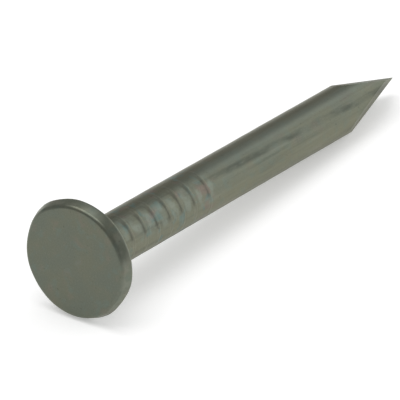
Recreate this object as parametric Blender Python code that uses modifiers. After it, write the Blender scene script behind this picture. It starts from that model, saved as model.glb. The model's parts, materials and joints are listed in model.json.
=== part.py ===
"""A round-headed wire nail with gripping marks under its head and a four-sided diamond point.

The nail is one piece of steel wire. It is modelled standing on its own axis: the striking face is at
local z = 0 and looks along local +Z, and the point is at the far end of local -Z. An empty then lays it
on the floor, where it rests on the rim of its head and on the shoulder where the point's facets begin.
World frame: +Z up, +X along the nail towards its point, and the origin at the middle of the bottom of
its box.
"""

import math

import bmesh
import bpy
from mathutils import Matrix, Vector

MM = 0.001

# Driving sizes, each of which can be set by itself.
SHANK_DIAMETER = 3.75 * MM
LENGTH_UNDER_HEAD = 40.0 * MM  # from the underside of the head to the tip
HEAD_DIAMETER = 8.75 * MM
HEAD_THICKNESS = 1.00 * MM
HEAD_TAPER = math.radians(18.0)  # the head's side leans in by this towards the striking face
FACE_EDGE_RADIUS = 0.30 * MM  # the rounded edge round the striking face
UNDER_EDGE_RADIUS = 0.20 * MM  # the rounded edge round the underside
NECK_FILLET = 0.30 * MM  # where the shank runs into the head

# The diamond point is four flat facets, pinched in two pairs from opposite sides.
FACET_SLOPE = math.radians(13.4)  # each facet's angle to the nail's axis
FACET_SPREAD = math.radians(63.5)  # from the sharp ridge round to the next facet's middle
RIDGE_TURN = math.radians(47.0)  # the sharp ridge's direction, from straight up towards -Y

# The gripping dies leave the same row of low ribs on two opposite sides of the shank.
MARK_COUNT = 7
MARK_PITCH = 1.53 * MM
FIRST_MARK = 3.60 * MM  # from the underside of the head
MARK_HEIGHT = 0.07 * MM  # how far a rib stands out in its middle
MARK_TUBE_RADIUS = 0.22 * MM  # how round the top of a rib is
MARK_REACH = math.radians(60.0)  # a rib runs out this far each way round from its middle
MARK_TURN = math.radians(58.0)  # the middle of the row, from straight up towards -Y

ROUND_STEPS = 64  # flat strips round the shank and the head
ARC_STEPS = 5  # lines across each rounded edge
CUTTER_SPARE = 1.0 * MM  # how far the point's form runs past the face

shank_radius = SHANK_DIAMETER / 2
head_radius = HEAD_DIAMETER / 2
half_step = math.pi / ROUND_STEPS


def clear_scene():
    for thing in list(bpy.data.objects):
        bpy.data.objects.remove(thing)


def new_collection(name):
    collection = bpy.data.collections.new(name)
    bpy.context.scene.collection.children.link(collection)
    return collection


def zinc_coating():
    """Dull grey-green zinc, as on a nail that is coated after it is made."""
    material = bpy.data.materials.new("zinc_coating")
    material.use_nodes = True
    shader = material.node_tree.nodes["Principled BSDF"]
    shader.inputs["Base Color"].default_value = (0.19, 0.21, 0.17, 1.0)
    shader.inputs["Roughness"].default_value = 0.42
    shader.inputs["Metallic"].default_value = 1.0
    return material


def arc(centre_x, centre_z, radius, start, end):
    """Points of an arc in the profile's plane, from angle start to angle end."""
    turns = [start + (end - start) * step / ARC_STEPS for step in range(ARC_STEPS + 1)]
    return [(centre_x + radius * math.cos(a), centre_z + radius * math.sin(a)) for a in turns]


def nail_outline():
    """Half the nail's outline, as (distance from the axis, height), from the face down to the tip."""
    quarter = math.pi / 2
    under = -HEAD_THICKNESS
    lean_in = math.sin(HEAD_TAPER)
    upright = math.cos(HEAD_TAPER)
    under_middle = (head_radius - UNDER_EDGE_RADIUS, under + UNDER_EDGE_RADIUS)
    under_edge = arc(*under_middle, UNDER_EDGE_RADIUS, HEAD_TAPER, -quarter)
    side_at_face = under_middle[0] + (UNDER_EDGE_RADIUS + under_middle[1] * lean_in) / upright
    face_flat = side_at_face - FACE_EDGE_RADIUS * (1 - lean_in) / upright
    face_edge = arc(face_flat, -FACE_EDGE_RADIUS, FACE_EDGE_RADIUS, quarter, HEAD_TAPER)
    neck = arc(shank_radius + NECK_FILLET, under - NECK_FILLET, NECK_FILLET, quarter, 2 * quarter)
    end = under - LENGTH_UNDER_HEAD
    return [(0, 0)] + face_edge + under_edge + neck + [(shank_radius, end), (0, end)]


def add_nail(collection, parent):
    """The head and the shank, turned from one outline. The point is still cut square."""
    mesh = bpy.data.meshes.new("nail")
    outline = bmesh.new()
    corners = [outline.verts.new((x, 0, z)) for x, z in nail_outline()]
    for upper, lower in zip(corners, corners[1:]):
        outline.edges.new((upper, lower))
    outline.to_mesh(mesh)
    outline.free()
    nail = bpy.data.objects.new("nail", mesh)
    collection.objects.link(nail)
    nail.parent = parent
    nail.rotation_euler.z = half_step  # a flat strip, not an edge, faces the floor
    screw = nail.modifiers.new("turned", "SCREW")
    screw.axis = "Z"
    screw.angle = math.tau
    screw.steps = ROUND_STEPS
    screw.render_steps = ROUND_STEPS
    screw.use_merge_vertices = True
    screw.merge_threshold = 0.001 * MM
    return nail


def round_direction(turn):
    """A direction across the nail, turned from straight up (local +X) towards -Y."""
    return Vector((math.cos(turn), -math.sin(turn), 0))


def hide_helper(helper, collection, parent):
    """Moves a helper to its own collection, where it is drawn as wires and not rendered."""
    for other in list(helper.users_collection):
        other.objects.unlink(helper)
    collection.objects.link(helper)
    helper.parent = parent
    helper.display_type = "WIRE"
    helper.hide_render = True


def add_point_form(collection, parent):
    """A long four-sided pyramid with the nail's tip at its tip. What lies outside it is pinched off."""
    tip = -HEAD_THICKNESS - LENGTH_UNDER_HEAD
    height = CUTTER_SPARE - tip
    facet_distance = height * math.tan(FACET_SLOPE)  # from the axis to each facet, at the pyramid's base
    sharp_corner = facet_distance / math.cos(FACET_SPREAD)
    blunt_corner = facet_distance / math.sin(FACET_SPREAD)
    mesh = bpy.data.meshes.new("point_form")
    pyramid = bmesh.new()
    bmesh.ops.create_cone(pyramid, cap_ends=True, segments=4, radius1=0, radius2=1, depth=height)
    pyramid.verts.ensure_lookup_table()
    stretch = Matrix.Diagonal((sharp_corner, blunt_corner, 1, 1))
    lift = Matrix.Translation((0, 0, tip + height / 2))
    turn = Matrix.Rotation(-RIDGE_TURN, 4, "Z")
    bmesh.ops.transform(pyramid, matrix=lift @ turn @ stretch, verts=pyramid.verts)
    pyramid.to_mesh(mesh)
    pyramid.free()
    form = bpy.data.objects.new("point_form", mesh)
    hide_helper(form, collection, parent)
    return form


def add_ribs(collection, parent):
    """Thin rings inside the shank, each shifted sideways so that it stands out on one side only."""
    shift = MARK_HEIGHT / (1 - math.cos(MARK_REACH))
    outer_radius = shank_radius + MARK_HEIGHT - shift
    for side in range(2):
        away = round_direction(MARK_TURN + side * math.pi) * shift
        for mark in range(MARK_COUNT):
            height = -HEAD_THICKNESS - FIRST_MARK - mark * MARK_PITCH
            bpy.ops.mesh.primitive_torus_add(
                major_segments=ROUND_STEPS,
                minor_segments=16,
                major_radius=outer_radius - MARK_TUBE_RADIUS,
                minor_radius=MARK_TUBE_RADIUS,
                location=(away.x, away.y, height),
            )
            ring = bpy.context.object
            ring.name = f"rib_{side}_{mark}"
            hide_helper(ring, collection, parent)


def join_ribs(nail, ribs):
    marks = nail.modifiers.new("gripping_marks", "BOOLEAN")
    marks.operation = "UNION"
    marks.solver = "EXACT"
    marks.operand_type = "COLLECTION"
    marks.collection = ribs


def pinch_point(nail, form):
    point = nail.modifiers.new("diamond_point", "BOOLEAN")
    point.operation = "INTERSECT"
    point.solver = "EXACT"
    point.object = form


def shoulder_height(turn):
    """How far above the tip the facets first cut the shank's surface, on a line at this turn."""
    opposite = RIDGE_TURN + math.pi
    facets = [
        RIDGE_TURN - FACET_SPREAD,
        RIDGE_TURN + FACET_SPREAD,
        opposite - FACET_SPREAD,
        opposite + FACET_SPREAD,
    ]
    nearest = max(math.cos(turn - facet) for facet in facets)
    return shank_radius * nearest / math.tan(FACET_SLOPE)


def resting_tilt():
    """The slope at which the rim of the head and the lowest corner of the shoulder touch the floor."""
    from_rim = LENGTH_UNDER_HEAD + UNDER_EDGE_RADIUS  # along the axis, from the rim to the tip
    rim_drop = head_radius * math.cos(half_step)
    slopes = []
    for strip in range(ROUND_STEPS):
        turn = (2 * strip + 1) * half_step
        rise = rim_drop + shank_radius * math.cos(turn)  # of the shank's surface above the rim's level
        slopes.append(math.atan2(rise, from_rim - shoulder_height(turn)))
    return min(slopes)


def lay_down(nail, axis):
    """Turns the nail onto the floor, and puts the middle of the bottom of its box at the origin."""
    axis.rotation_euler.y = resting_tilt() - math.pi / 2
    bpy.context.view_layer.update()
    solid = nail.evaluated_get(bpy.context.evaluated_depsgraph_get())
    corners = [solid.matrix_world @ vertex.co for vertex in solid.data.vertices]
    lowest = Vector([min(corner[i] for corner in corners) for i in range(3)])
    highest = Vector([max(corner[i] for corner in corners) for i in range(3)])
    middle = (lowest + highest) / 2
    axis.location = (-middle.x, -middle.y, -lowest.z)


def main():
    clear_scene()
    parts = new_collection("nail")
    point_forms = new_collection("point_form")
    ribs = new_collection("ribs")
    axis = bpy.data.objects.new("nail_axis", None)
    parts.objects.link(axis)

    nail = add_nail(parts, axis)
    nail.data.materials.append(zinc_coating())
    pinch_point(nail, add_point_form(point_forms, axis))
    add_ribs(ribs, axis)
    join_ribs(nail, ribs)
    lay_down(nail, axis)


main()
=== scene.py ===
# %% [markdown]
# # A zinc-coated wire nail
# The real nail is one piece of steel wire. A machine grips the wire between two dies, strikes its end into
# a flat round head, pinches the other end to a four-sided point, and the nail is coated afterwards.
# This lesson makes the look of the nail in the same order: wire, head, gripping marks, point, coat.
# The nail stands on its own axis while it is shaped, as on a lathe, and is laid down at the end.

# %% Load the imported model
import json
import math

import bmesh
import bpy
from mathutils import Matrix, Vector


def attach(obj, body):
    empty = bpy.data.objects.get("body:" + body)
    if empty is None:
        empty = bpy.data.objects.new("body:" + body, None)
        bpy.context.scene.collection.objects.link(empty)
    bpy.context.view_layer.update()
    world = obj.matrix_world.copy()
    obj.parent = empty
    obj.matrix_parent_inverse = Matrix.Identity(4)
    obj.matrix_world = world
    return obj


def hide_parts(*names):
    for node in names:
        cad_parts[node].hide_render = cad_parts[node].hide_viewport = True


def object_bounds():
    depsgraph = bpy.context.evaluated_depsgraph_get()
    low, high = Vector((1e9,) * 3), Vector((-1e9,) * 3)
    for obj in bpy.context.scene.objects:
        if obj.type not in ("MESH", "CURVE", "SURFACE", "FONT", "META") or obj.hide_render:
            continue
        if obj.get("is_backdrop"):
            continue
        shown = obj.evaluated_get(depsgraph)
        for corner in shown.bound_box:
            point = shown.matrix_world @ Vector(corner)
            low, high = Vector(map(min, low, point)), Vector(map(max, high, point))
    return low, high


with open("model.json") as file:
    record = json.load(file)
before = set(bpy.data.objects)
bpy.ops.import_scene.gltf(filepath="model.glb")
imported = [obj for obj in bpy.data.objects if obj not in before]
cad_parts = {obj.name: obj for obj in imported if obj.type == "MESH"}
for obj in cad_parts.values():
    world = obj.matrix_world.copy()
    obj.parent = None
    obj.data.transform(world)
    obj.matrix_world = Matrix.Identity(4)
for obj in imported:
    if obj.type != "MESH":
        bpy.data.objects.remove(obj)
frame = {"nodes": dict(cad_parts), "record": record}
cad_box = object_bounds()
MM = 0.001
print("The packed model is", [round(side / MM, 2) for side in cad_box[1] - cad_box[0]], "mm")

# %% [markdown]
# ## Where the nail is, and how big
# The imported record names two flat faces: the striking face and the bearing face under the head. The first
# gives the middle of the face and the direction of the axis. The nail's length, its shank and its head are
# then measured along that axis or square to it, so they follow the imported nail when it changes. The
# smaller shapes, such as the fillet and the marks, have sizes of their own in the cells that make them.

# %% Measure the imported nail
mounts = {mount["name"]: mount for mount in frame["record"]["mounts"]}
face_centre = Vector(mounts["striking_face"]["pos_m"])
outward = Vector(mounts["striking_face"]["axis"]).normalized()
across_up = (Vector((0, 0, 1)) - outward * outward.z).normalized()  # straight up, square to the axis
sideways = outward.cross(across_up)
lay_down = Matrix((across_up, sideways, outward)).transposed().to_4x4()
lay_down.translation = face_centre

stand_up = lay_down.inverted()
packed_points = [stand_up @ vertex.co for vertex in frame["nodes"]["nail"].data.vertices]
nail_length = -min(point.z for point in packed_points)
head_radius = max(point.xy.length for point in packed_points)
head_thickness = -(stand_up @ Vector(mounts["bearing_face"]["pos_m"])).z
NECK_FILLET = 0.30 * MM
neck_end = -head_thickness - NECK_FILLET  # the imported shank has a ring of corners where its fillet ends
RING_SLACK = 0.02 * MM
neck_ring = [point for point in packed_points if abs(point.z - neck_end) < RING_SLACK]
shank_radius = max(point.xy.length for point in neck_ring)
for name, size in (("length", nail_length), ("head", 2 * head_radius), ("shank", 2 * shank_radius)):
    print(f"{name}: {size / MM:.2f} mm")

# %% [markdown]
# ## Small helpers for working by hand
# In edit mode an operator acts on all that is selected. These helpers do what a hand does: open a mesh,
# pick only the vertices, edges or faces that pass a test, and close the mesh again. Directions round the
# nail are angles from straight up (local +X) towards the side that faces the viewer (-Y).

# %% Helpers
ROUNDING = 0.004 * MM


def open_mesh(piece):
    bpy.ops.object.select_all(action="DESELECT")
    bpy.context.view_layer.objects.active = piece
    piece.select_set(True)
    bpy.ops.object.mode_set(mode="EDIT")


def close_mesh():
    bpy.ops.object.mode_set(mode="OBJECT")


def pick(kind, test):
    """Selects the vertices, edges or faces that pass the test, and nothing else. Returns how many."""
    bpy.ops.mesh.select_mode(type=kind)
    bpy.ops.mesh.select_all(action="DESELECT")
    form = bmesh.from_edit_mesh(bpy.context.edit_object.data)
    items = {"VERT": form.verts, "EDGE": form.edges, "FACE": form.faces}[kind]
    chosen = [item for item in items if test(item)]
    for item in chosen:
        item.select_set(True)
    form.select_flush_mode()
    bmesh.update_edit_mesh(bpy.context.edit_object.data)
    return len(chosen)


def near(a, b):
    """Whether two sizes are the same, but for rounding."""
    return abs(a - b) < ROUNDING


def ring_edge(radius, height):
    """A test for the edges of one ring round the axis."""
    return lambda edge: all(near(v.co.xy.length, radius) and near(v.co.z, height) for v in edge.verts)


def reaches(edge, bottom, top):
    """Whether an edge runs all the way from one height to another."""
    heights = sorted(v.co.z for v in edge.verts)
    return near(heights[0], bottom) and near(heights[1], top)


def direction_round(turn):
    """A direction square to the axis."""
    return Vector((math.cos(turn), -math.sin(turn), 0))


def turn_of(point):
    """The angle of a point round the axis, from straight up towards the viewer's side."""
    return math.atan2(-point.y, point.x)


def turn_between(a, b):
    return abs((a - b + math.pi) % math.tau - math.pi)


# %% [markdown]
# ## The wire
# The blank is drawn round wire, cut square. It could be one long cylinder with two ends, but a surface can
# only be pressed or bent where it has vertices. So the cylinder is cut into four lengths, and each gets its
# own number of rings: a few at the neck, many in the two gripped lengths, fewer along the plain shank.

# %% Draw the wire and ring it
ROUND_STEPS = 144
GRIP_START = 3.2 * MM  # from the striking face
GRIP_MIDDLE = 9.3 * MM
GRIP_END = 15.4 * MM
GRIP_RINGS = 95  # in each half of the gripped length
PLAIN_RINGS = 90
NECK_RINGS = 8
CUT_SNAP = 0.001 * MM  # a vertex nearer to a cut than this counts as on it

wire_length = nail_length - head_thickness
bpy.ops.object.select_all(action="DESELECT")
bpy.ops.mesh.primitive_cylinder_add(
    vertices=ROUND_STEPS,
    radius=shank_radius,
    depth=wire_length,
    location=(0, 0, -head_thickness - wire_length / 2),
)
nail = bpy.context.object
nail.name = "wire_nail"
nail.data.name = "wire_nail"
bpy.ops.object.transform_apply(location=True, rotation=True, scale=True)

open_mesh(nail)
for cut in (GRIP_START, GRIP_MIDDLE, GRIP_END):
    bpy.ops.mesh.select_all(action="SELECT")
    bpy.ops.mesh.bisect(plane_co=(0, 0, -cut), plane_no=(0, 0, 1), threshold=CUT_SNAP)
for top, bottom, rings in (
    (head_thickness, GRIP_START, NECK_RINGS),
    (GRIP_START, GRIP_MIDDLE, GRIP_RINGS),
    (GRIP_MIDDLE, GRIP_END, GRIP_RINGS),
    (GRIP_END, nail_length, PLAIN_RINGS),
):
    pick("EDGE", lambda edge: reaches(edge, -bottom, -top))
    bpy.ops.mesh.subdivide(number_cuts=rings)
close_mesh()
print("The wire has", len(nail.data.polygons), "faces")

# %% [markdown]
# ## The head
# A punch strikes the end of the wire flat, and the steel flows outwards into a disc. Extruding the end face
# and scaling it makes the underside, and a second extrusion gives the disc its thickness. The disc's side
# leans in a little towards the struck face, so that face is scaled down. Then come the rounded edges: one
# round the struck face, a narrower one underneath, and a small fillet where the shank runs in. A bevel's
# offset is measured from the corner, so it is worked out from the radius and the corner's angle. The struck
# face and the flat ring underneath get rings or a grid of their own, so that they can wave a little later.

# %% Strike the head
HEAD_TAPER = math.radians(18.0)
FACE_EDGE_RADIUS = 0.30 * MM
UNDER_EDGE_RADIUS = 0.20 * MM
FACE_EDGE_CUTS = 10  # strips across the rounded edge of the struck face
UNDER_EDGE_CUTS = 8
NECK_CUTS = 8
FACE_RING = 0.15 * MM  # the width of the ring of faces round the struck face's grid
FACE_GRID = 36  # quads across the struck face, which has ROUND_STEPS sides
UNDER_RINGS = 10

under_offset = UNDER_EDGE_RADIUS / math.tan((math.pi / 2 - HEAD_TAPER) / 2)
face_offset = FACE_EDGE_RADIUS / math.tan((math.pi / 2 + HEAD_TAPER) / 2)
under_corner = head_radius - UNDER_EDGE_RADIUS + under_offset
face_corner = under_corner - head_thickness * math.tan(HEAD_TAPER)

open_mesh(nail)
pick("FACE", lambda face: face.normal.z > 0.9)
bpy.ops.mesh.extrude_region_move(TRANSFORM_OT_translate={"value": (0, 0, 0)})
spread = under_corner / shank_radius
bpy.ops.transform.resize(value=(spread, spread, 1), center_override=(0, 0, -head_thickness))
bpy.ops.mesh.extrude_region_move(TRANSFORM_OT_translate={"value": (0, 0, head_thickness)})
lean = face_corner / under_corner
bpy.ops.transform.resize(value=(lean, lean, 1), center_override=(0, 0, 0))

pick("EDGE", ring_edge(shank_radius, -head_thickness))
bpy.ops.mesh.bevel(offset=NECK_FILLET, segments=NECK_CUTS, affect="EDGES")
pick("EDGE", ring_edge(face_corner, 0))
bpy.ops.mesh.bevel(offset=face_offset, segments=FACE_EDGE_CUTS, affect="EDGES")
pick("EDGE", ring_edge(under_corner, -head_thickness))
bpy.ops.mesh.bevel(offset=under_offset, segments=UNDER_EDGE_CUTS, affect="EDGES")

pick("FACE", lambda face: face.normal.z > 0.999 and len(face.verts) == ROUND_STEPS)
bpy.ops.mesh.inset(thickness=FACE_RING)
bpy.ops.mesh.delete(type="ONLY_FACE")
pick("EDGE", lambda edge: edge.is_boundary)
bpy.ops.mesh.fill_grid(span=FACE_GRID)
under_inner = shank_radius + NECK_FILLET
under_outer = head_radius - UNDER_EDGE_RADIUS
pick(
    "EDGE",
    lambda edge: all(near(v.co.z, -head_thickness) for v in edge.verts)
    and edge.calc_length() > 0.9 * (under_outer - under_inner),
)
bpy.ops.mesh.subdivide(number_cuts=UNDER_RINGS)
close_mesh()
print("With its head the nail has", len(nail.data.polygons), "faces")

# %% [markdown]
# ## An uneven rim
# Struck steel doesn't flow out quite round: the rim bulges softly in some places and is flatter in others.
# A few vertices of the rim are moved outwards or inwards, and proportional editing takes the steel beside
# them along. Then a very faint cloud pattern displaces the whole surface by hundredths of a millimetre,
# because no drawn or struck surface is a perfect cylinder or plane, and gloss shows the difference.

# %% Let the rim flow unevenly and the surface wave
RIM_FLOW = (  # turn of the middle, how far outwards, how far round it reaches
    (math.radians(-50), 0.13 * MM, 1.9 * MM),
    (math.radians(122), -0.11 * MM, 1.6 * MM),
    (math.radians(166), 0.03 * MM, 1.5 * MM),
    (math.radians(-133), -0.05 * MM, 2.0 * MM),
    (math.radians(15), -0.03 * MM, 1.4 * MM),
)
RIM_DEPTH = 0.05 * MM  # vertices this near to the widest ring count as on the rim
RIM_PICK = math.radians(5)  # how far round from the middle of a flow they are picked
WAVE_LENGTH = 1.5 * MM
WAVE_HEIGHT = 0.022 * MM

open_mesh(nail)
for turn, flow, reach in RIM_FLOW:
    pick(
        "VERT",
        lambda v: v.co.xy.length > head_radius - RIM_DEPTH
        and turn_between(turn_of(v.co), turn) < RIM_PICK,
    )
    bpy.ops.transform.translate(
        value=direction_round(turn) * flow,
        use_proportional_edit=True,
        proportional_edit_falloff="SMOOTH",
        proportional_size=reach,
    )
close_mesh()
clouds = bpy.data.textures.new("faint_waves", "CLOUDS")
clouds.noise_scale = WAVE_LENGTH
clouds.noise_depth = 1
waves = nail.modifiers.new("faint_waves", "DISPLACE")
waves.texture = clouds
waves.texture_coords = "LOCAL"
waves.strength = WAVE_HEIGHT
bpy.ops.object.modifier_apply(modifier=waves.name)
rim_reach = max(v.co.xy.length for v in nail.data.vertices)
print("The rim reaches", round(rim_reach / MM, 3), "mm from the axis at most")

# %% [markdown]
# ## The gripping marks
# The two halves of the gripping die have grooves, and the steel that is squeezed into them stands up as the
# same row of low ribs on two opposite sides of the shank. A rib is highest in its middle and runs out at
# its ends. They are raised as by hand: an arc of vertices is picked and moved outwards with proportional
# editing, in three passes from long and low to short and high, so each rib swells softly.

# %% Raise the gripping marks
MARK_COUNT = 7
MARK_PITCH = 1.50 * MM
FIRST_MARK = 3.60 * MM  # from the underside of the head
LAST_MARK = 12.96 * MM  # the last one stands a little apart
MARK_HEIGHT = 0.060 * MM
MARK_HALF_WIDTH = 0.27 * MM
MARK_REACH = math.radians(58.0)
MARK_TURN = math.radians(58.0)
RIB_PASSES = ((1.0, 0.35), (0.75, 0.35), (0.45, 0.30))  # share of the reach, share of the height
ring_gap = (GRIP_END - GRIP_MIDDLE) / (GRIP_RINGS + 1)
half_gap = 0.55 * ring_gap  # a little over a half, so that each rib finds its nearest ring

marks = [FIRST_MARK + number * MARK_PITCH for number in range(MARK_COUNT - 1)] + [LAST_MARK]
open_mesh(nail)
for middle in (MARK_TURN, MARK_TURN + math.pi):
    for mark in marks:
        height = -head_thickness - mark
        for reach, share in RIB_PASSES:
            pick(
                "VERT",
                lambda v: abs(v.co.z - height) < half_gap
                and turn_between(turn_of(v.co), middle) < reach * MARK_REACH,
            )
            bpy.ops.transform.shrink_fatten(
                value=share * MARK_HEIGHT,
                use_proportional_edit=True,
                proportional_edit_falloff="SMOOTH",
                proportional_size=MARK_HALF_WIDTH,
            )
close_mesh()
print("Raised", 2 * MARK_COUNT, "gripping marks")

# %% [markdown]
# ## The point
# Two pairs of pinching dies close on the wire and leave four flat facets, a diamond point. The facets meet
# in two sharp ridges and two blunt ones, and the wire's own surface runs on between them in narrowing
# strips. A facet is one plane, so each is cut with the bisect operator, which removes what lies outside and
# fills the cut. The dies never meet quite on the axis, so all four planes pass a little to one side of it,
# and a fifth cut blunts the tip. Edges that the dies leave crisp are marked sharp.

# %% Pinch the point
FACET_SLOPE = math.radians(13.4)  # each facet's angle to the nail's axis
FACET_SPREAD = math.radians(66.0)  # from a sharp ridge round to the next facet's middle
RIDGE_TURN = math.radians(47.0)
DIE_OFFSET = 0.16 * MM
DIE_OFFSET_TURN = math.radians(-90.0)
TIP_BLUNT = 0.10 * MM
POINT_ZONE = 8.0 * MM  # the point's facets all lie nearer to the tip than this
CRISP_ANGLE = math.radians(9)  # edges of the point that bend more than this are left sharp
FACET_SNAP = 0.00001 * MM  # much finer than CUT_SNAP, because a facet crosses many small faces

tip = Vector((0, 0, -nail_length)) + direction_round(DIE_OFFSET_TURN) * DIE_OFFSET
cuts = []
for middle in (RIDGE_TURN, RIDGE_TURN + math.pi):
    for spread in (-FACET_SPREAD, FACET_SPREAD):
        outwards = direction_round(middle + spread)
        cuts.append((tip, outwards * math.cos(FACET_SLOPE) + Vector((0, 0, -math.sin(FACET_SLOPE)))))
cuts.append((tip + Vector((0, 0, TIP_BLUNT)), Vector((0, 0, -1))))

open_mesh(nail)
for through, facing in cuts:
    bpy.ops.mesh.select_all(action="SELECT")
    bpy.ops.mesh.bisect(
        plane_co=through, plane_no=facing, threshold=FACET_SNAP, use_fill=True, clear_outer=True
    )
crisp = pick(
    "EDGE",
    lambda edge: edge.verts[0].co.z < POINT_ZONE - nail_length
    and edge.is_manifold
    and edge.calc_face_angle() > CRISP_ANGLE,
)
bpy.ops.mesh.mark_sharp()
close_mesh()
tip_height = min(v.co.z for v in nail.data.vertices)
print("The point ends at", round(tip_height / MM, 2), "mm, with", crisp, "crisp edges")

# %% [markdown]
# ## Laying it down
# The finished nail is turned and moved once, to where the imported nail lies, and the place is applied to the
# mesh, so the object itself stays at the origin. Then its normals are made to point outwards, and it is
# shaded smooth except over sharp edges.

# %% Lay the nail down
SMOOTH_ANGLE = math.radians(25)
nail.matrix_world = lay_down
bpy.ops.object.select_all(action="DESELECT")
nail.select_set(True)
bpy.context.view_layer.objects.active = nail
bpy.ops.object.transform_apply(location=True, rotation=True, scale=True)
open_mesh(nail)
bpy.ops.mesh.select_all(action="SELECT")
bpy.ops.mesh.normals_make_consistent(inside=False)
close_mesh()
bpy.ops.object.shade_smooth_by_angle(angle=SMOOTH_ANGLE)
lowest = min(v.co.z for v in nail.data.vertices)
print("The nail's lowest point is", round(lowest / MM, 2), "mm above the floor")

# %% [markdown]
# ## Writing shader maths as sums
# A finish is built from many small nodes. The class below holds one output of a node, and Python's own
# signs add Math nodes to it, so `1 - mask` and `low + grain * 0.2` can be written as they are read. Any
# other node comes from add(), which takes its type, its settings and its inputs.

# %% A class for shader maths
class Layer:
    """One output of a node. Sums on it add Math nodes, and add() adds any other node."""

    def __init__(self, tree, socket=None):
        self.tree = tree
        self.socket = socket

    def add(self, kind, settings=(), inputs=(), output=0):
        node = self.tree.nodes.new(kind)
        for name, value in dict(settings).items():
            if name == "stops":
                while len(node.color_ramp.elements) < len(value):
                    node.color_ramp.elements.new(1)
                for element, (position, shade) in zip(node.color_ramp.elements, value):
                    element.position = position
                    element.color = shade
            else:
                setattr(node, name, value)
        for name, value in dict(inputs).items():
            if isinstance(value, Layer):
                self.tree.links.new(value.socket, node.inputs[name])
            else:
                node.inputs[name].default_value = value
        return Layer(self.tree, node.outputs[output])

    def maths(self, operation, a, b=0.0):
        return self.add("ShaderNodeMath", {"operation": operation}, {0: a, 1: b})

    def __add__(self, other):
        return self.maths("ADD", self, other)

    def __radd__(self, other):
        return self.maths("ADD", other, self)

    def __sub__(self, other):
        return self.maths("SUBTRACT", self, other)

    def __rsub__(self, other):
        return self.maths("SUBTRACT", other, self)

    def __mul__(self, other):
        return self.maths("MULTIPLY", self, other)

    def __rmul__(self, other):
        return self.maths("MULTIPLY", other, self)

    def rise(self, low, high):
        """A smooth mask: 0 up to low, 1 from high on. With low above high it falls instead."""
        inputs = {"Value": self, "From Min": low, "From Max": high}
        return self.add("ShaderNodeMapRange", {"interpolation_type": "SMOOTHSTEP"}, inputs)

    def vector_maths(self, operation, inputs, output=0):
        return self.add("ShaderNodeVectorMath", {"operation": operation}, inputs, output)

    def along(self, direction):
        """How far a vector reaches along a direction."""
        return self.vector_maths("DOT_PRODUCT", {0: self, 1: direction}, "Value")

    def length(self):
        return self.vector_maths("LENGTH", {0: self}, "Value")

    def stretched(self, scale):
        return self.vector_maths("MULTIPLY", {0: self, 1: scale})

    def clouds(self, scale, detail=2.0, roughness=0.5):
        """A noise pattern from 0 to 1 at this place, with about scale clouds in each millimetre."""
        inputs = {"Vector": self, "Scale": scale, "Detail": detail, "Roughness": roughness}
        return self.add("ShaderNodeTexNoise", (), inputs, "Fac")

    def blend(self, mask, other):
        """This colour where the mask is 0, and the other one where it is 1."""
        inputs = {0: mask, 6: self, 7: other}
        return self.add("ShaderNodeMix", {"data_type": "RGBA"}, inputs, 2)


def finish(name):
    """A new material, with its Principled shader and a layer to build its nodes from."""
    material = bpy.data.materials.new(name)
    material.use_nodes = True
    return material, material.node_tree.nodes["Principled BSDF"], Layer(material.node_tree)


# %% [markdown]
# ## Where on the nail
# The coat's pattern follows the nail's own axis, not the room. A Mapping node turns Object coordinates into
# millimetres on the standing nail: up and sideways across it, and along the axis from the striking face.
# From those come the distance from the axis and masks for the head, the gripped length and the point.

# %% Places on the nail
coat, coat_shader, start = finish("zinc_coat")
place = start.add(
    "ShaderNodeMapping",
    {"vector_type": "TEXTURE"},
    {
        "Vector": start.add("ShaderNodeTexCoord", output="Object"),
        "Location": face_centre,
        "Rotation": lay_down.to_euler(),
        "Scale": (MM, MM, MM),
    },
)
normal = start.add("ShaderNodeNewGeometry", output="Normal")
from_face = place.along((0, 0, -1))
from_axis = place.stretched((1, 1, 0)).length()
pointing = normal.along(-outward)  # how much the surface faces towards the point
NEAR_TURN = math.radians(49.35)  # the line along the shank that lies nearest to the viewer
to_edge = MM / shank_radius  # turns millimetres across the shank into a share of its radius
near_side = place.along(direction_round(NEAR_TURN) * to_edge).rise(-0.2, 0.2)
across = place.along(direction_round(NEAR_TURN + math.pi / 2) * to_edge)

head_end = head_thickness / MM
point_start = (nail_length - POINT_ZONE) / MM
on_shank = from_face.rise(head_end + 0.05, head_end + 0.45)
gripped = from_face.rise(3.4, 4.6) * from_face.rise(15.4, 14.2)
facet = from_face.rise(point_start, point_start + 0.2) * pointing.rise(0.14, 0.24)
print("The point's facets lie past", round(point_start, 1), "mm from the striking face")

# %% [markdown]
# ## The coat's colours
# Zinc and phosphate give a dull grey-green that is nowhere quite even. Slow clouds drift between green-grey
# and olive, small patches turn teal or brown where the bath took differently, and the drawn wire shows
# faint streaks along its length. Every layer is a colour and a mask, laid over the ones before.

# %% Colours of the coat
GREEN_GREY = (0.148, 0.164, 0.130, 1)
OLIVE = (0.180, 0.176, 0.118, 1)
BROWN = (0.135, 0.128, 0.085, 1)
TEAL = (0.122, 0.180, 0.164, 1)
PALE = (0.270, 0.270, 0.225, 1)
BARE = (0.300, 0.275, 0.225, 1)
PINK = (0.205, 0.160, 0.138, 1)
HIGHLIGHT_TEAL = (0.230, 0.262, 0.222, 1)
DARK = (0.070, 0.078, 0.064, 1)

drift = place.clouds(0.45).rise(0.35, 0.65)
main_colours = {0: drift * 0.4, 6: GREEN_GREY, 7: OLIVE}
colour = start.add("ShaderNodeMix", {"data_type": "RGBA"}, main_colours, 2)
# Painted reflection tints: seen from the viewer, the shank's lower side is painted olive and its upper side
# brown.
colour = colour.blend(on_shank * across.rise(0.1, 0.9) * 0.65, OLIVE)
colour = colour.blend(on_shank * across.rise(-0.55, -0.85) * 0.7, BROWN)
# Painted shade: the struck face is painted darker than the rest of the coat.
colour = colour.blend(from_face.rise(0.35, 0.10) * 0.24, DARK)

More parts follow.
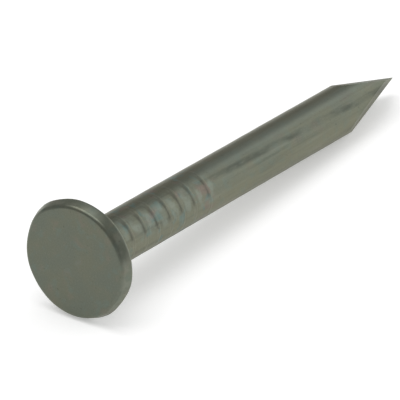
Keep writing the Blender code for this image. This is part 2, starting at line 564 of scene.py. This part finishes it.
teal_patch = place.clouds(1.1, 2.5).rise(0.52, 0.68) * (0.22 + gripped * 0.6)
brown_clouds = place.stretched((1.0, 1.0, 0.7)).clouds(0.9, 2.5)
brown_patch = brown_clouds.rise(0.54, 0.72) * (0.20 + gripped * 0.50)
colour = colour.blend(teal_patch, TEAL).blend(brown_patch, PINK)

streaks = place.stretched((3.2, 3.2, 0.16)).clouds(1.0, 3.0, 0.6)
colour = colour.blend(on_shank * streaks.rise(0.50, 0.75) * 0.35, DARK)
colour = colour.blend(on_shank * streaks.rise(0.48, 0.25) * 0.25, PALE)
print("The coat's colours take", len(coat.node_tree.nodes), "nodes so far")

# %% [markdown]
# ## Tool marks, painted highlights and painted shade
# A darker line runs in patches along one side of the shank from the grip to the point, and a pale teal
# stripe beside it is a painted highlight. The ribs are painted lighter on the side towards the head, a
# painted highlight, and brown on the other, a painted shadow, and the hollows between them carry pale teal
# painted highlights in patches. The pinched facets are bare, brighter steel with the fine lines of the dies
# across them, and the rim of the head is painted lighter in patches, a painted highlight. Fine grain and a
# few dark specks lie over everything.

# %% Tool marks, painted highlights and painted shade
STREAK_START = 14.9  # mm from the striking face
STREAK_DRIFT = 0.0123  # how far across the streak wanders in each millimetre, in shank radii
from_streak = across - (from_face - STREAK_START) * STREAK_DRIFT + 0.15
streak_line = from_streak.maths("ABSOLUTE", from_streak).rise(0.20, 0.04)
streak = streak_line * near_side * from_face.rise(14.0, 17.0)
streak_patches = place.stretched((1.0, 1.0, 0.35)).clouds(1.2, 3.0).rise(0.36, 0.60)
colour = colour.blend(streak * (0.25 + streak_patches * 0.55), DARK)
# Painted highlight: a pale teal stripe on the upper part of the shank's side nearest the viewer.
highlight_stripe = across.rise(-0.85, -0.6) * across.rise(-0.25, -0.45) * near_side * from_face.rise(12.0, 16.0)
colour = colour.blend(highlight_stripe * (0.2 + streaks * 0.5), HIGHLIGHT_TEAL)

first_rib = (head_thickness + FIRST_MARK) / MM
wobble = place.clouds(0.9, 2.0) * 0.9 - 0.45
rib_phase = (from_face + wobble - first_rib) * (math.tau * MM / MARK_PITCH)
# Painted highlight: in patches, the hollows between the ribs on the side nearest the viewer are painted pale
# teal.
hollow = rib_phase.maths("COSINE", rib_phase).rise(0.4, -0.7) * gripped
bright_side = across.rise(-0.65, -0.15) * across.rise(0.80, 0.30) * near_side
hollow_patches = place.clouds(1.5, 2.5).rise(0.36, 0.62)
colour = colour.blend(hollow * bright_side * (0.05 + hollow_patches * 0.45), HIGHLIGHT_TEAL)
# Painted shadow and painted highlight: the ribs' sides towards the point are painted brown, their sides
# towards the head paler.
colour = colour.blend(gripped * pointing.rise(0.04, 0.22) * 0.25, BROWN)
colour = colour.blend(gripped * pointing.rise(-0.04, -0.22) * 0.25, PALE)

die_lines = place.stretched((0.6, 0.6, 6.0)).clouds(1.0, 2.0)
colour = colour.blend(facet * (0.05 + die_lines * 0.25), BARE)

# Painted highlight: the rim of the head is painted lighter in patches.
rim = from_axis.rise(head_radius / MM - 0.45, head_radius / MM - 0.1)
colour = colour.blend(rim * place.clouds(2.0).rise(0.4, 0.65) * 0.25, PALE)

grain = place.clouds(8.0, 4.0, 0.65)
specks = place.clouds(3.4, 1.0).rise(0.70, 0.78)
colour = colour.blend(grain.rise(0.50, 0.80) * 0.22, DARK).blend(grain.rise(0.50, 0.20) * 0.18, PALE)
colour = colour.blend(specks * 0.35, DARK)
print("With its marks the coat has", len(coat.node_tree.nodes), "nodes")

# %% [markdown]
# ## Gloss and relief
# The coat is metal all over, so its colour is the colour of its reflections. It is duller where the grain
# and the brown patches are, and on the pinched facets. A bump of a few thousandths of a millimetre breaks
# the reflections up. Metal turns almost white at a grazing angle, and this coat a little less so, which the
# Specular Tint holds. What varies goes to Base Color, Roughness and Normal, and the rest is set once.

# %% Gloss and relief
BUMP_DEPTH = 0.004 * MM
GRAZING_TINT = (0.92, 0.93, 0.88, 1)
roughness = 0.31 + grain * 0.07 + brown_patch * 0.08 + facet * 0.21
relief = grain * 0.6 + on_shank * streaks * 0.5 + facet * die_lines * 0.5 - specks * 0.3
bump = relief.add("ShaderNodeBump", (), {"Height": relief, "Distance": BUMP_DEPTH, "Strength": 1.0})
coat_shader.inputs["Metallic"].default_value = 1.0
coat_shader.inputs["Specular Tint"].default_value = GRAZING_TINT
for name, layer in (("Base Color", colour), ("Roughness", roughness), ("Normal", bump)):
    coat.node_tree.links.new(layer.socket, coat_shader.inputs[name])
nail.data.materials.clear()
nail.data.materials.append(coat)
print("The coat has", len(coat.node_tree.nodes), "nodes")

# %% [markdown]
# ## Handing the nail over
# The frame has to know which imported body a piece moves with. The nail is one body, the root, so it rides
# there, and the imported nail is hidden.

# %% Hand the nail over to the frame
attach(nail, "root")
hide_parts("nail")
print("Handed over", nail.name)

# %% [markdown]
# ## The floor
# The nail lies on a plain sheet of white paper. The paper gives out a little light of its own, which fades
# with the distance from the nail, so it looks evenly white close by and doesn't brighten the far views.

# %% Floor
FLOOR_SIDE = 4
bpy.ops.object.select_all(action="DESELECT")
bpy.ops.mesh.primitive_plane_add(size=FLOOR_SIDE)
floor = bpy.context.object
floor.name = "floor"
paper, paper_shader, start = finish("white_paper")
from_middle = start.add("ShaderNodeTexCoord", output="Object").length()
FULL_GLOW = (0.06, (1, 1, 1, 1))  # up to 60 mm from the nail's middle
FAINT_GLOW = (0.22, (0.2, 0.2, 0.2, 1))  # from 220 mm on
fade = from_middle.add("ShaderNodeValToRGB", {"stops": (FULL_GLOW, FAINT_GLOW)}, {0: from_middle})
paper.node_tree.links.new(fade.socket, paper_shader.inputs["Emission Color"])
for name, value in (
    ("Base Color", (0.9, 0.9, 0.9, 1)),
    ("Roughness", 0.9),
    ("Specular IOR Level", 0.0),
    ("Emission Strength", 0.34),
):
    paper_shader.inputs[name].default_value = value
floor.data.materials.append(paper)
floor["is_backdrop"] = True
print("The floor is", FLOOR_SIDE, "m wide")

# %% [markdown]
# ## Light
# A dull metal cylinder shows the room as bands along its length, so the lights are large and soft. An even
# white world fills in, a square key softbox nearly overhead lights the upper side, and a wide, low fill on
# the viewer's side of the point lights the lower one. The dark band between them is where the shank shows
# only the dim part of the room.

# %% Light
scene = bpy.context.scene
scene.view_settings.view_transform = "Standard"
world = bpy.data.worlds.new("studio")
scene.world = world
world.use_nodes = True
room = world.node_tree.nodes["Background"]
room.inputs["Color"].default_value = (1, 1, 1, 1)
room.inputs["Strength"].default_value = 0.48


def add_softbox(name, place, width, height, power):
    """A rectangular area light that looks at the origin."""
    light = bpy.data.lights.new(name, "AREA")
    light.shape = "RECTANGLE"
    light.size = width
    light.size_y = height
    light.energy = power
    lamp = bpy.data.objects.new(name, light)
    scene.collection.objects.link(lamp)
    lamp.location = place
    lamp.rotation_euler = (-Vector(place)).to_track_quat("-Z", "Y").to_euler()


add_softbox("key", (-0.08, 0.10, 0.48), 0.42, 0.42, 1.05)
add_softbox("fill", (0.32, -0.16, 0.14), 0.5, 0.30, 0.38)
print("Lit by the room and two softboxes")

# %% [markdown]
# ## Camera
# The camera stands in front of the head and to its right, and looks down on the nail with a long lens. Its
# place is worked out from a direction and a distance, so it can be moved round the nail by one angle.

# %% Camera
VIEW_AZIMUTH = math.radians(-55.022)
VIEW_ELEVATION = math.radians(28.994)
VIEW_DISTANCE = 0.3628
AIM_RIGHT = -2.886 * MM  # the camera looks past the nail's middle by this
AIM_UP = 0.122 * MM
LENS = 450
SENSOR = 36

level = math.cos(VIEW_ELEVATION)
back = Vector((math.sin(VIEW_AZIMUTH) * level, -math.cos(VIEW_AZIMUTH) * level, math.sin(VIEW_ELEVATION)))
right = Vector((math.cos(VIEW_AZIMUTH), math.sin(VIEW_AZIMUTH), 0))
up = back.cross(right)
camera = bpy.data.objects.new("camera", bpy.data.cameras.new("camera"))
scene.collection.objects.link(camera)
camera.data.sensor_width = SENSOR
camera.data.lens = LENS
camera.data.clip_start = 0.01
camera.location = right * AIM_RIGHT + up * AIM_UP + back * VIEW_DISTANCE
camera.rotation_euler = Matrix((right, up, back)).transposed().to_euler()
scene.camera = camera
print("The camera stands at", [round(side, 3) for side in camera.location], "m")

# %% [markdown]
# ## Sizes
# Both boxes are printed: the imported nail's and the visible nail's. The visible nail has to stay
# inside the imported one's box.

# %% Print the sizes
visual_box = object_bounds()
for name, box in (("packed", cad_box), ("visible", visual_box)):
    print(name, [round(side / MM, 3) for corner in box for side in corner])
